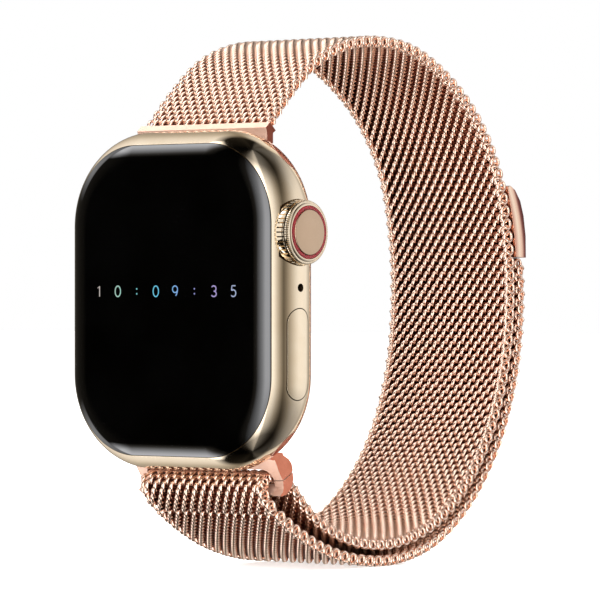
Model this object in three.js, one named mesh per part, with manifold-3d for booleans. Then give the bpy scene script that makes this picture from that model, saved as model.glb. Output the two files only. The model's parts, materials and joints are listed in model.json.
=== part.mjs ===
// A smartwatch on a woven metal loop strap, in millimetres.
//
// Frame: the origin is the centre of the flat of the back crystal, the face that rests on the wrist.
// +Z points to twelve o'clock, +X to the crown, and the display faces -Y, so the strap loops out to +Y.
// Depths inside the watch are given from the middle plane of the case, and behind() turns them into Y.
import * as THREE from "three";
import { mergeVertices } from "three/addons/utils/BufferGeometryUtils.js";
import Module from "manifold-3d";

const wasm = await Module();
wasm.setup();

// ---------- Driving dimensions ----------

const CASE_HEIGHT = 41;
const CASE_WIDTH = 35;
const CASE_DEPTH = 9.3; // metal and front crystal together
const BACK_RISE = 1.4; // how far the back crystal stands out of the metal
const CORNER_RADIUS = 11.5;
const SIDE_RADIUS = CASE_DEPTH / 2; // the sides are full-round
const CRYSTAL_EDGE_ANGLE = THREE.MathUtils.degToRad(50); // where the crystal meets the metal, round the side
const SEAM = 0.1; // gap between parts that meet
const RUNNING_GAP = 0.12; // gap round parts that slide

const CROWN_Z = 8.05;
const CROWN_DEPTH = -0.2;
const CROWN_RADIUS = 3.9;
const CROWN_TEETH = 44;
const TOOTH_DEPTH = 0.22;
const KNOB_INNER_X = 16.75;
const KNOB_OUTER_X = 18.3; // outer end of the teeth
const BEZEL_X = 18.8; // rim round the ring
const RING_RADII = [2.78, 3.15];
const RING_FACE_X = 18.85;
const CAP_RADIUS = 2.7;
const CAP_FACE_X = 18.95;
const SHAFT_RADIUS = 1;
const CROWN_PART_GAP = 0.08; // round the shaft, in its seal, bushing, encoder wheel and slide plate

const BUTTON_Z = -6.4;
const BUTTON_DEPTH = -0.33;
const BUTTON_LENGTH = 10.8;
const BUTTON_WIDTH = 3.42;
const BUTTON_POSTS_Z = [BUTTON_Z - 3, BUTTON_Z + 3];

const MICROPHONE_Z = 1.5;
const SPEAKER_SLOTS_Z = [-3.6, 3.6];
const SPEAKER_SLOT = [5.6, 0.9]; // length and width

// Openings in the case, as [half width, half height, corner radius].
const CRYSTAL_SEAT = [15.05, 18.05, 8.8];
const DISPLAY_POCKET = [14.35, 17.35, 8.1];
const MAIN_BAY = [14.9, 14.9, 6.5];
const BACK_SEAT = [11.5, 14.5, 5.6];
const BACK_OPENING = [10.8, 13.8, 4.9];
const DISPLAY_FLOOR = -1.15; // depths of the display pocket's floor, and of the main bay's
const BAY_FLOOR = 3.35;
const INSIDE_FRONT = -0.95; // front of the parts that stand in the main bay
const BACK_SEAT_DEEP = 0.9;
const BACK_CRYSTAL_RADIUS = 10.6;
const SENSOR_WINDOW_RADIUS = 9.6;

const HAPTIC_X = [-10, 1.3];
const HAPTIC_Z = [-14.2, -9.5];
const HAPTIC_WALL = 0.4;
const HAPTIC_TRAVEL_ROOM = 1; // either side of the mass, inside the walls


const LUG_DEPTH = 1.95; // centre of the lug's bead behind the middle plane
const LUG_Z = 17.4;
const LUG_BEAD = [1.8, 1.75]; // half thickness and half height of the bead
const UPPER_LUG_HALF = 10.4;
const LOWER_LUG_HALF = 11.5;
const SLOT_HALF = 10.15; // opening for the strap in the lower lug
const SLOT_TOP = -20.35;

// Each lug's outline past the bead: the front edge, then the back edge, both from the bead outwards.
const UPPER_NECK = {
  front: [[2, 18.2], [2, 20.1], [1.8, 20.75], [2.52, 21.4]],
  back: [[3.1, 18.2], [3.1, 20.1], [3.6, 20.42]],
};
const LOWER_NECK = {
  front: [[1.75, -18.1], [1.95, -18.9], [2.4, -19.6], [2.75, -20.3], [3.1, -20.85], [3.6, -21.6]],
  back: [[3.45, -18.1], [3.75, -18.6], [4.7, -19.05], [5.25, -19.6], [5.5, -20.3], [5.45, -20.6]],
};

// The bar under the lower lug that the strap turns over: its centre as [depth, Z], and its ends' outline.
const BAR_CENTRE = [4.35, -22.8];
const BAR_RADIUS = 0.7;
const BAR_END = [
  [3.66, -21.7], [3.75, -22.4], [3.6, -23], [3.15, -23.45], [3.6, -23.5], [4.3, -23.3],
  [5.2, -22.5], [5.6, -21.6], [5.5, -20.72],
];

// The release buttons on the back, and the latch under each.
const RELEASE_Z = 16.35;
const RELEASE_HALF_X = 1.7;
const RELEASE_HALF_Z = 0.55;
const LATCH_HALF_X = 1.95;
const LATCH_HALF_Z = 0.75;
const LATCH_FRONT = 2.75;
const LATCH_POCKET_FRONT = 2.2;

const STRAP_WIDTH = 19.8;
const STRAP_THICKNESS = 1.5;
const TAIL_PIECES = 5;
const TAIL_GAP = 0.3;

// The strap's centre line, as (depth, Z): out of the upper lug, round the wrist, through the lower lug's slot
// and down over its front.
const LOOP_LINE = [
  [3.08, 20.9], [7.5, 25.35], [12.5, 29.2], [18.5, 31.45], [24.5, 32.05], [31, 31.25],
  [38, 28.05], [44, 23.2], [48.5, 16.5], [50.7, 8], [51.15, 0], [50.1, -8.5],
  [47, -16.6], [42, -23.2], [35.5, -28], [28, -30.1], [22, -30.05], [16.2, -28.6],
  [11.7, -26.3], [8.3, -23.2], [6.6, -21.7], [4.7, -21.2], [3.1, -21.45], [2.15, -22.3],
  [2.35, -23.35], [3.4, -24.5], [4.8, -25.7],
];
// The tail carries on from there, outside the loop, and ends in the clasp.
const TAIL_LINE = [
  [4.8, -25.7], [9.2, -28.35], [14.5, -30.6], [21.3, -32.05], [28.6, -32.1], [36.4, -29.95],
  [43.6, -24.75], [49, -17.5], [52.25, -9.05], [53.4, 0], [53.15, 5.2],
];

// The clasp at the end of the tail, and the pocket in it for the magnet.
const CLASP_OUTLINE = [
  [52.05, 5.55], [54.1, 5.5], [54.05, 8.3], [53.6, 10.9], [52.9, 12.8], [51.8, 14.2], [50.8, 14.75],
  [50.25, 14.6], [50.45, 13.8], [50.9, 12], [51.35, 10.2], [51.7, 8.4],
];
const CLASP_POCKET = { half: 8.6, depth: [51, 53.15], z: [6.5, 10.3] };
const MAGNET_THICKNESS = 0.7;
const CLASP_PLATE_THICKNESS = 0.25;

// ---------- Colours ----------

const finish = (color, roughness, metalness) => ({ color, roughness, metalness });
const GOLD = finish(0xd8c49c, 0.18, 1);
const ROSE = finish(0xd9977c, 0.3, 1);
const BLACK_GLASS = finish(0x050506, 0.06, 0);
const RED = finish(0xb01622, 0.4, 0);
const STEEL = finish(0xb9bcc0, 0.35, 1);
const BRASS = finish(0xc9a227, 0.35, 1);
const COPPER = finish(0xc07a4a, 0.4, 1);
const MAGNET = finish(0x8d8f92, 0.3, 1);
const RUBBER = finish(0x1c1c1e, 0.8, 0);
const BOARD = finish(0x16382a, 0.6, 0.1);
const DARK = finish(0x26272a, 0.5, 0.2);
const CERAMIC = finish(0x2a2b2e, 0.2, 0);

// ---------- Helpers ----------

const MIDDLE_Y = -(BACK_RISE + SIDE_RADIUS);
const behind = (depth) => MIDDLE_Y + depth;

/** A closed geometry as a solid that can be joined and cut. */
function solid(geometry) {
  const bare = geometry.clone();
  bare.deleteAttribute("normal");
  bare.deleteAttribute("uv");
  const merged = mergeVertices(bare, 1e-4);
  return new wasm.Manifold(
    new wasm.Mesh({
      numProp: 3,
      vertProperties: merged.attributes.position.array,
      triVerts: new Uint32Array(merged.index.array),
    }),
  );
}

/** A solid as a geometry again. */
function geometryOf(made) {
  const m = made.getMesh();
  return new THREE.BufferGeometry()
    .setAttribute("position", new THREE.BufferAttribute(new Float32Array(m.vertProperties), 3))
    .setIndex(new THREE.BufferAttribute(new Uint32Array(m.triVerts), 1));
}

/** A box between two corners. */
function block([x0, x1], [y0, y1], [z0, z1]) {
  const box = new THREE.BoxGeometry(x1 - x0, y1 - y0, z1 - z0);
  return box.translate((x0 + x1) / 2, (y0 + y1) / 2, (z0 + z1) / 2);
}

/** A ring of points round a rounded rectangle that faces -Y, from the +X side towards +Z. */
function roundedRing(halfX, halfZ, radius, y, steps = 8) {
  const ring = [];
  [[1, 1], [-1, 1], [-1, -1], [1, -1]].forEach(([sx, sz], corner) => {
    for (let i = 0; i <= steps; i++) {
      const a = ((corner + i / steps) * Math.PI) / 2;
      const x = sx * (halfX - radius) + radius * Math.cos(a);
      const z = sz * (halfZ - radius) + radius * Math.sin(a);
      ring.push(new THREE.Vector3(x, y, z));
    }
  });
  return ring;
}

/** A solid skin over rings that follow each other towards +Y, with a flat fan at each end. */
function loft(rings) {
  const count = rings[0].length;
  const points = rings.flat();
  const faces = [];
  rings.slice(1).forEach((_, i) => {
    for (let j = 0; j < count; j++) {
      const k = (j + 1) % count;
      const [a, b, c, d] = [i * count + j, i * count + k, (i + 1) * count + j, (i + 1) * count + k];
      faces.push(a, c, d, a, d, b);
    }
  });
  [[rings[0], 0, false], [rings.at(-1), (rings.length - 1) * count, true]].forEach(([ring, start, back]) => {
    const centre = points.length;
    points.push(ring.reduce((sum, p) => sum.add(p), new THREE.Vector3()).divideScalar(count));
    for (let j = 0; j < count; j++) {
      const pair = [start + j, start + ((j + 1) % count)];
      faces.push(centre, ...(back ? pair.reverse() : pair));
    }
  });
  return new THREE.BufferGeometry().setFromPoints(points).setIndex(faces);
}

/** A rounded plate between two depths in Y. */
const roundedPlate = (halfX, halfZ, radius, y0, y1, steps) =>
  loft([roundedRing(halfX, halfZ, radius, y0, steps), roundedRing(halfX, halfZ, radius, y1, steps)]);

/** A rounded plate with a rounded hole through it. */
const roundedFrame = (halfX, halfZ, radius, wall, y0, y1) =>
  solid(roundedPlate(halfX, halfZ, radius, y0, y1)).subtract(
    solid(roundedPlate(halfX - wall, halfZ - wall, radius - wall, y0 - 1, y1 + 1)),
  );

/** An outline of (depth, Z) points, drawn out along X. */
function along(outline, x0, x1) {
  const shape = new THREE.Shape(outline.map(([depth, z]) => new THREE.Vector2(behind(depth), z)));
  const turn = new THREE.Matrix4().makeBasis(
    new THREE.Vector3(0, 1, 0),
    new THREE.Vector3(0, 0, 1),
    new THREE.Vector3(1, 0, 0),
  );
  const drawn = new THREE.ExtrudeGeometry(shape, { depth: x1 - x0, bevelEnabled: false });
  return drawn.applyMatrix4(turn).translate(x0, 0, 0);
}

/** A turned solid round an axis along X; the profile is (radius, X) and runs towards +X. */
const turnedX = (profile, depth, z, segments = 32) =>
  new THREE.LatheGeometry(profile.map(([r, x]) => new THREE.Vector2(r, x)), segments)
    .rotateZ(-Math.PI / 2)
    .translate(0, behind(depth), z);

/** A turned solid round the watch's own axis along Y; the profile is (radius, Y) and runs towards +Y. */
const turnedY = (profile, segments = 36) =>
  new THREE.LatheGeometry(profile.map(([r, y]) => new THREE.Vector2(r, y)), segments);

const rod = (r, x0, x1, depth, z, segments = 24) =>
  turnedX([[0, x0], [r, x0], [r, x1], [0, x1]], depth, z, segments);

const tube = (outer, inner, x0, x1, depth, z, segments = 24) =>
  turnedX([[inner, x0], [outer, x0], [outer, x1], [inner, x1], [inner, x0]], depth, z, segments);

/** A slot with round ends along Z, drawn out along X. */
function pill(length, width, depth, z, x0, x1) {
  const radius = width / 2;
  const straight = length / 2 - radius;
  const outline = [];
  for (let i = 0; i <= 20; i++) {
    const a = (i / 10) * Math.PI;
    const side = i <= 10 ? 1 : -1;
    outline.push([depth + radius * Math.cos(a), z + side * straight + radius * Math.sin(a)]);
    if (i === 10) outline.push([depth - radius, z - straight]);
  }
  return along(outline.slice(0, -1).concat([[depth + radius, z - straight]]), x0, x1);
}

const root = new THREE.Group();

/** Adds one named piece to the watch. */
function piece(name, shape, look) {
  const geometry = shape.isBufferGeometry ? shape : geometryOf(shape);
  const mesh = new THREE.Mesh(geometry, new THREE.MeshStandardMaterial(look));
  mesh.name = name;
  root.add(mesh);
  return mesh;
}

// ---------- Case ----------

/** The case's outline where its round side has turned by an angle from the middle plane. */
function caseRing(angle) {
  const inset = SIDE_RADIUS * (1 - Math.cos(angle));
  return roundedRing(
    CASE_WIDTH / 2 - inset,
    CASE_HEIGHT / 2 - inset,
    CORNER_RADIUS - inset,
    behind(SIDE_RADIUS * Math.sin(angle)),
    9,
  );
}

/** Rings of the case between two angles round its side. */
const caseRings = (from, to, steps) =>
  Array.from({ length: steps + 1 }, (_, i) => caseRing(from + ((to - from) * i) / steps));

const QUARTER = Math.PI / 2;
const SEAM_Y = behind(-SIDE_RADIUS * Math.sin(CRYSTAL_EDGE_ANGLE)); // joint between crystal and metal
const LEDGE_Y = SEAM_Y + 0.6; // step that the crystal's gasket sits on
const FLOOR_Y = behind(DISPLAY_FLOOR);
const BACK_Y = behind(SIDE_RADIUS); // metal back
const BACK_LEDGE_Y = BACK_Y - BACK_SEAT_DEEP;

/** The bead of a lug, grown by a clearance. */
function bead(side, grow) {
  const outline = [];
  for (let i = 0; i < 24; i++) {
    const a = (i / 24) * 2 * Math.PI;
    outline.push([
      LUG_DEPTH + (LUG_BEAD[0] + grow) * Math.cos(a),
      side * LUG_Z + (LUG_BEAD[1] + grow) * Math.sin(a),
    ]);
  }
  return outline;
}

/** A neck's outline, moved apart by a clearance. */
const neck = ({ front, back }, grow) => [
  ...front.map(([d, z]) => [d - grow, z]),
  ...[...back].reverse().map(([d, z]) => [d + grow, z]),
];

/** A neck's outline in the order that a shape facing +X needs. */
function upright(outline) {
  const area = THREE.ShapeUtils.area(outline.map(([x, y]) => ({ x, y })));
  return area < 0 ? [...outline].reverse() : outline;
}

/** A lug's whole section, along X. */
const lugBar = (side, edges, grow, half) =>
  solid(along(bead(side, grow), -half, half)).add(solid(along(upright(neck(edges, grow)), -half, half)));

const CASE_OUTER = solid(loft(caseRings(-CRYSTAL_EDGE_ANGLE, QUARTER, 14)));

function caseHousing() {
  const button = [BUTTON_LENGTH + 2 * RUNNING_GAP, BUTTON_WIDTH + 2 * RUNNING_GAP];
  const cuts = [
    roundedPlate(...CRYSTAL_SEAT, SEAM_Y - 1, LEDGE_Y),
    roundedPlate(...DISPLAY_POCKET, SEAM_Y - 1, FLOOR_Y),
    roundedPlate(...MAIN_BAY, FLOOR_Y - 0.1, behind(BAY_FLOOR)),
    roundedPlate(...BACK_SEAT, BACK_LEDGE_Y, BACK_Y + 1),
    roundedPlate(...BACK_OPENING, FLOOR_Y, BACK_Y + 1),
    rod(CROWN_RADIUS + 0.25, 16.45, 20, CROWN_DEPTH, CROWN_Z, 40),
    rod(1.8, 14, 17, CROWN_DEPTH, CROWN_Z),
    rod(0.5, 14, 18, CROWN_DEPTH, MICROPHONE_Z, 16),
    pill(...button, BUTTON_DEPTH, BUTTON_Z, 15.6, 18),
    ...BUTTON_POSTS_Z.map((z) => rod(0.75, 14, 16, BUTTON_DEPTH, z, 16)),
    ...SPEAKER_SLOTS_Z.map((z) => pill(...SPEAKER_SLOT, 0, z, -18, -14)),
    ...[1, -1].map((side) => releaseOutline(side, RUNNING_GAP, behind(2.5), BACK_Y + 1)),
  ].map(solid);
  cuts.push(lugBar(1, UPPER_NECK, RUNNING_GAP, 20), lugBar(-1, LOWER_NECK, RUNNING_GAP, 20));
  return cuts.reduce((body, cut) => body.subtract(cut), CASE_OUTER);
}

// ---------- Front: crystal, gasket and display ----------

/** The crystal: the front of the case's round form, with a plate behind it that fills the seat. */
function frontCrystal() {
  const [halfX, halfZ, radius] = CRYSTAL_SEAT.map((size) => size - 0.15);
  const rim = caseRing(-CRYSTAL_EDGE_ANGLE).map((point) => point.setY(SEAM_Y - SEAM / 2));
  const dome = [...caseRings(-QUARTER, -CRYSTAL_EDGE_ANGLE, 6).slice(0, -2), rim];
  const seated = roundedPlate(halfX, halfZ, radius, SEAM_Y - 0.4, LEDGE_Y - 0.3);
  return solid(loft(dome)).add(solid(seated));
}

// ---------- Crown ----------

function toothedOutline(radius, depthOfTooth, teeth) {
  const outline = [];
  for (let i = 0; i < teeth; i++) {
    [[0, radius - depthOfTooth], [0.3, radius], [0.7, radius]].forEach(([part, r]) => {
      const a = ((i + part) / teeth) * 2 * Math.PI;
      outline.push([CROWN_DEPTH + r * Math.cos(a), CROWN_Z + r * Math.sin(a)]);
    });
  }
  return outline;
}

function crownKnob() {
  const teeth = toothedOutline(CROWN_RADIUS, TOOTH_DEPTH, CROWN_TEETH);
  const barrel = solid(along(teeth, KNOB_INNER_X, KNOB_OUTER_X));
  const profile = [[0, 17.9], [3.6, 17.9], [3.6, KNOB_OUTER_X], [3.25, BEZEL_X], [0, BEZEL_X]];
  const bevel = solid(turnedX(profile, CROWN_DEPTH, CROWN_Z, 40));
  const pocket = solid(rod(3.2, 18.1, 20, CROWN_DEPTH, CROWN_Z, 40));
  const bore = solid(rod(SHAFT_RADIUS + 0.05, 16, 17.7, CROWN_DEPTH, CROWN_Z));
  return barrel.add(bevel).subtract(pocket).subtract(bore);
}

// ---------- Buttons ----------

function sideButtonCap() {
  const outline = pill(BUTTON_LENGTH, BUTTON_WIDTH, BUTTON_DEPTH, BUTTON_Z, 16.1, 18);
  const face = solid(outline).intersect(CASE_OUTER);
  return BUTTON_POSTS_Z.reduce(
    (cap, z) => cap.add(solid(rod(0.6, 13.9, 16.3, BUTTON_DEPTH, z, 16))),
    face,
  );
}

/** The outline of a release button on the back, drawn out along Y. */
function releaseOutline(side, grow, y0, y1) {
  const [halfX, halfZ] = [RELEASE_HALF_X + grow, RELEASE_HALF_Z + grow];
  const plate = roundedPlate(halfX, halfZ, halfZ - 0.01, y0, y1, 5);
  return plate.translate(0, 0, side * RELEASE_Z);
}

// ---------- Lugs ----------

/** What the lugs are trimmed to: the case's own outer form, and the part that stands outside it. */
function lugEnvelope(half, side, from) {
  const reach = [side * from, side * 26].sort((a, b) => a - b);
  const outside = block([-half, half], [behind(0.1), behind(7)], reach);
  return CASE_OUTER.add(solid(outside));
}

/** A block let into the back of a bead: the spring latch, or with a clearance the pocket it moves in. */
const latchBlock = (side, floor, grow) =>
  block(
    [-LATCH_HALF_X - grow, LATCH_HALF_X + grow],
    [behind(floor), behind(5)],
    [side * RELEASE_Z - LATCH_HALF_Z - grow, side * RELEASE_Z + LATCH_HALF_Z + grow],
  );
const latchPocket = (side) => solid(latchBlock(side, LATCH_POCKET_FRONT, RUNNING_GAP));

function upperLug() {
  return lugBar(1, UPPER_NECK, 0, 20)
    .intersect(lugEnvelope(UPPER_LUG_HALF, 1, 18.85))
    .subtract(latchPocket(1));
}

function lowerLug() {
  return lugBar(-1, LOWER_NECK, 0, 20)
    .intersect(lugEnvelope(LOWER_LUG_HALF, -1, 18.25))
    .subtract(latchPocket(-1))
    .subtract(solid(block([-SLOT_HALF, SLOT_HALF], [behind(0), behind(9)], [-24, SLOT_TOP])));
}

/** The bar that the strap turns over: a rod between two end blocks that close the lower lug's slot. */
function lowerLugBar() {
  const blocks = [[-LOWER_LUG_HALF, -SLOT_HALF], [SLOT_HALF, LOWER_LUG_HALF]];
  return blocks.reduce(
    (made, [x0, x1]) => made.add(solid(along(upright(BAR_END), x0, x1))),
    solid(rod(BAR_RADIUS, -SLOT_HALF - 0.4, SLOT_HALF + 0.4, ...BAR_CENTRE, 20)),
  );
}

/** A spring latch, level with the back of its bead so that the lug can slide. */
const latch = (side) =>
  solid(latchBlock(side, LATCH_FRONT, 0)).intersect(solid(along(bead(side, 0), -3, 3)));

// ---------- Strap ----------

function lineOf(points) {
  const places = points.map(([depth, z]) => new THREE.Vector3(0, behind(depth), z));
  return new THREE.CatmullRomCurve3(places, false, "centripetal");
}

/** A strip of the strap along a line, between two shares of its length. */
function strip(line, from, to, steps) {
  const rings = [];
  for (let i = 0; i <= steps; i++) {
    const share = from + ((to - from) * i) / steps;
    const centre = line.getPointAt(share);
    const forward = line.getTangentAt(share);
    const outward = new THREE.Vector3(0, -forward.z, forward.y).multiplyScalar(STRAP_THICKNESS / 2);
    const across = new THREE.Vector3(STRAP_WIDTH / 2, 0, 0);
    rings.push([
      centre.clone().add(outward).add(across),
      centre.clone().add(outward).sub(across),
      centre.clone().sub(outward).sub(across),
      centre.clone().sub(outward).add(across),
    ]);
  }
  return loft(rings);
}

// ---------- Put together ----------

piece("case_housing", caseHousing(), GOLD);
piece("front_crystal", frontCrystal(), BLACK_GLASS);
piece("display_gasket", roundedFrame(14.85, 17.85, 8.6, 0.5, LEDGE_Y - 0.25, LEDGE_Y - 0.05), RUBBER);
piece("display_panel", roundedPlate(14.1, 17.1, 7.8, LEDGE_Y - 0.2, LEDGE_Y + 0.6, 6), DARK);
piece("display_shield", roundedPlate(13.9, 16.9, 7.6, LEDGE_Y + 0.75, LEDGE_Y + 1, 6), STEEL);

/** A part that stands in the main bay, from its front to a depth. */
const inBay = (halfX, halfZ, radius, depth, x, z) =>
  roundedPlate(halfX, halfZ, radius, behind(INSIDE_FRONT), behind(depth), 3).translate(x, 0, z);

piece("battery", inBay(5.6, 9.6, 1, 2.5, -4.4, 0.8), DARK);
piece("logic_module", inBay(5.3, 7.4, 0.8, 1.7, 7, -4.5), BOARD);
piece("speaker", inBay(1.8, 6.6, 0.6, 2.3, -12.3, 0.6), DARK);
piece("microphone", block([13.2, 14.7], [behind(-0.9), behind(0.7)], [0.6, 2.4]), STEEL);

/** A stretch with an amount taken off both its ends. */
const shortened = ([low, high], by) => [low + by, high - by];

const hapticRoom = block(
  shortened(HAPTIC_X, HAPTIC_WALL),
  [behind(INSIDE_FRONT + HAPTIC_WALL), behind(4)],
  shortened(HAPTIC_Z, HAPTIC_WALL),
);
const hapticBox = block(HAPTIC_X, [behind(INSIDE_FRONT), behind(2.3)], HAPTIC_Z);
const hapticMass = block(
  shortened(HAPTIC_X, HAPTIC_WALL + HAPTIC_TRAVEL_ROOM),
  [behind(-0.35), behind(2.1)],
  shortened(HAPTIC_Z, 0.6),
);
piece("haptic_housing", solid(hapticBox).subtract(solid(hapticRoom)), STEEL);
piece("haptic_cover", block(HAPTIC_X, [behind(2.4), behind(2.65)], HAPTIC_Z), STEEL);
piece("haptic_mass", hapticMass, MAGNET);

const BACK_CRYSTAL_Y = BACK_Y + 0.15; // shelf in the back cover that the back crystal stands on
const [coverX, coverZ, coverCorner] = BACK_SEAT.map((size) => size - RUNNING_GAP);
const cover = loft([
  roundedRing(coverX, coverZ, coverCorner, BACK_LEDGE_Y + 0.25, 12),
  roundedRing(coverX, coverZ, coverCorner, BACK_Y + 0.05, 12),
  roundedRing(11.25, 11.25, 11.2, BACK_Y + 0.7, 12),
]);

/** A round opening along Y, from one depth out through the back. */
const roundOpening = (radius, from) => solid(turnedY([[0, from], [radius, from], [radius, 1], [0, 1]], 48));

piece(
  "back_cover",
  solid(cover)
    .subtract(roundOpening(BACK_CRYSTAL_RADIUS + 0.15, BACK_CRYSTAL_Y))
    .subtract(roundOpening(SENSOR_WINDOW_RADIUS, -4)),
  CERAMIC,
);
const backGasket = roundedFrame(11.4, 14.4, 5.5, 0.45, BACK_LEDGE_Y + 0.05, BACK_LEDGE_Y + 0.2);
piece("back_gasket", backGasket, RUBBER);
const backDome = [
  [0, BACK_CRYSTAL_Y + SEAM], [BACK_CRYSTAL_RADIUS, BACK_CRYSTAL_Y + SEAM], [BACK_CRYSTAL_RADIUS, -0.72],
  [10, -0.5], [9, -0.26], [8, -0.11], [7, -0.03], [6, 0], [0, 0],
];
piece("back_crystal", turnedY(backDome, 48), BLACK_GLASS);
piece("sensor_board", turnedY([[0, -1.75], [9.4, -1.75], [9.4, -1.35], [0, -1.35]]), BOARD);
piece("charging_coil", turnedY([[4.6, -2.55], [8.6, -2.55], [8.6, -1.9], [4.6, -1.9], [4.6, -2.55]]), COPPER);
piece("alignment_magnet", turnedY([[0, -2.7], [3, -2.7], [3, -1.9], [0, -1.9]]), MAGNET);

piece("crown_knob", crownKnob(), GOLD);
piece("crown_ring", tube(RING_RADII[1], RING_RADII[0], 18.15, RING_FACE_X, CROWN_DEPTH, CROWN_Z, 40), RED);
const capProfile = [
  [0, 18.2], [CAP_RADIUS, 18.2], [CAP_RADIUS, CAP_FACE_X - 0.1],
  [CAP_RADIUS - 0.1, CAP_FACE_X], [0, CAP_FACE_X],
];
piece("crown_cap", turnedX(capProfile, CROWN_DEPTH, CROWN_Z, 40), GOLD);
const ON_SHAFT = SHAFT_RADIUS + CROWN_PART_GAP;
piece("crown_shaft", rod(SHAFT_RADIUS, 11.95, 17.6, CROWN_DEPTH, CROWN_Z), STEEL);
piece("crown_bushing", tube(1.72, ON_SHAFT, 15.2, 16.4, CROWN_DEPTH, CROWN_Z), BRASS);
piece("crown_seal", tube(1.7, 1.1, 14.55, 15.05, CROWN_DEPTH, CROWN_Z), RUBBER);
const wheelBore = rod(SHAFT_RADIUS + 0.06, 13, 14.5, CROWN_DEPTH, CROWN_Z);
const wheel = solid(along(toothedOutline(1.6, 0.2, 16), 13.4, 13.9)).subtract(solid(wheelBore));
piece("encoder_wheel", wheel, STEEL);
const sensorZ = [CROWN_Z + 1.9, CROWN_Z + 3.2];
piece("encoder_sensor", block([12.6, 13.9], [behind(-0.9), behind(0.8)], sensorZ), DARK);
piece("crown_slide_plate", tube(1.6, ON_SHAFT, 12.3, 12.7, CROWN_DEPTH, CROWN_Z), STEEL);

/** A part inside the case between two X and two depths, centred on a Z. */
const inside = (x, depths, z, halfZ) => block(x, depths.map(behind), [z - halfZ, z + halfZ]);

piece("crown_switch", inside([10.6, 11.55], [-0.9, 0.7], CROWN_Z, 1), BRASS);
piece("crown_bracket", inside([10.05, 10.5], [INSIDE_FRONT, 2.2], CROWN_Z, 2.4), STEEL);

const postDepths = [BUTTON_DEPTH - 0.4, BUTTON_DEPTH + 0.8];
piece("side_button_cap", sideButtonCap(), GOLD);
piece("side_button_clip", inside([13.35, 13.8], postDepths, BUTTON_Z, 3.7), STEEL);
piece("side_button_bracket", inside([12.4, 12.65], [INSIDE_FRONT, 2.2], BUTTON_Z, 3.8), STEEL);
piece("side_button_switch", inside([12.75, 12.95], postDepths, BUTTON_Z, 1.2), BRASS);
[1, -1].forEach((side) => {
  const which = side > 0 ? "upper" : "lower";
  const button = solid(releaseOutline(side, 0, behind(3.85), BACK_Y + 0.5)).intersect(CASE_OUTER);
  piece(`release_button_${which}`, button, GOLD);
  piece(`lug_latch_${which}`, latch(side), STEEL);
});

piece("upper_lug", upperLug(), ROSE);
piece("lower_lug", lowerLug(), ROSE);
piece("lower_lug_bar", lowerLugBar(), ROSE);

piece("strap_loop", strip(lineOf(LOOP_LINE), 0.0025, 0.998, 72), ROSE);
const tailLine = lineOf(TAIL_LINE);
const tailGapShare = TAIL_GAP / tailLine.getLength();
for (let i = 0; i < TAIL_PIECES; i++) {
  const from = i / TAIL_PIECES + (i ? 0.5 : 1) * tailGapShare;
  const to = (i + 1) / TAIL_PIECES - 0.5 * tailGapShare;
  piece(`strap_tail_${i + 1}`, strip(tailLine, from, to, 8), ROSE);
}

const { half, depth: [pocketFront, pocketBack], z: pocketZ } = CLASP_POCKET;
const claspPocket = block([-half, half], [behind(pocketFront), behind(pocketBack)], pocketZ);
const claspForm = along(upright(CLASP_OUTLINE), -STRAP_WIDTH / 2, STRAP_WIDTH / 2);
const magnetBack = pocketBack - SEAM;
const plateBack = magnetBack - MAGNET_THICKNESS - SEAM;

/** A plate in the clasp's pocket, with its back at a depth. */
const inPocket = (gap, thickness, back) =>
  block([gap - half, half - gap], [behind(back - thickness), behind(back)], shortened(pocketZ, SEAM));

piece("clasp_shell", solid(claspForm).subtract(solid(claspPocket)), ROSE);
piece("clasp_magnet", inPocket(0.2, MAGNET_THICKNESS, magnetBack), MAGNET);
piece("clasp_plate", inPocket(0.1, CLASP_PLATE_THICKNESS, plateBack), ROSE);

export default root;
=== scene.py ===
"""A smartwatch on a woven metal loop strap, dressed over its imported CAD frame.

Shapes are worked out in millimetres in the frame's own axes (X to the crown, -Y the display's way, Z to twelve
o'clock) and become metres when a mesh is made. Sizes and places come from the CAD nodes' boxes.
"""

import json
import math

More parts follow.
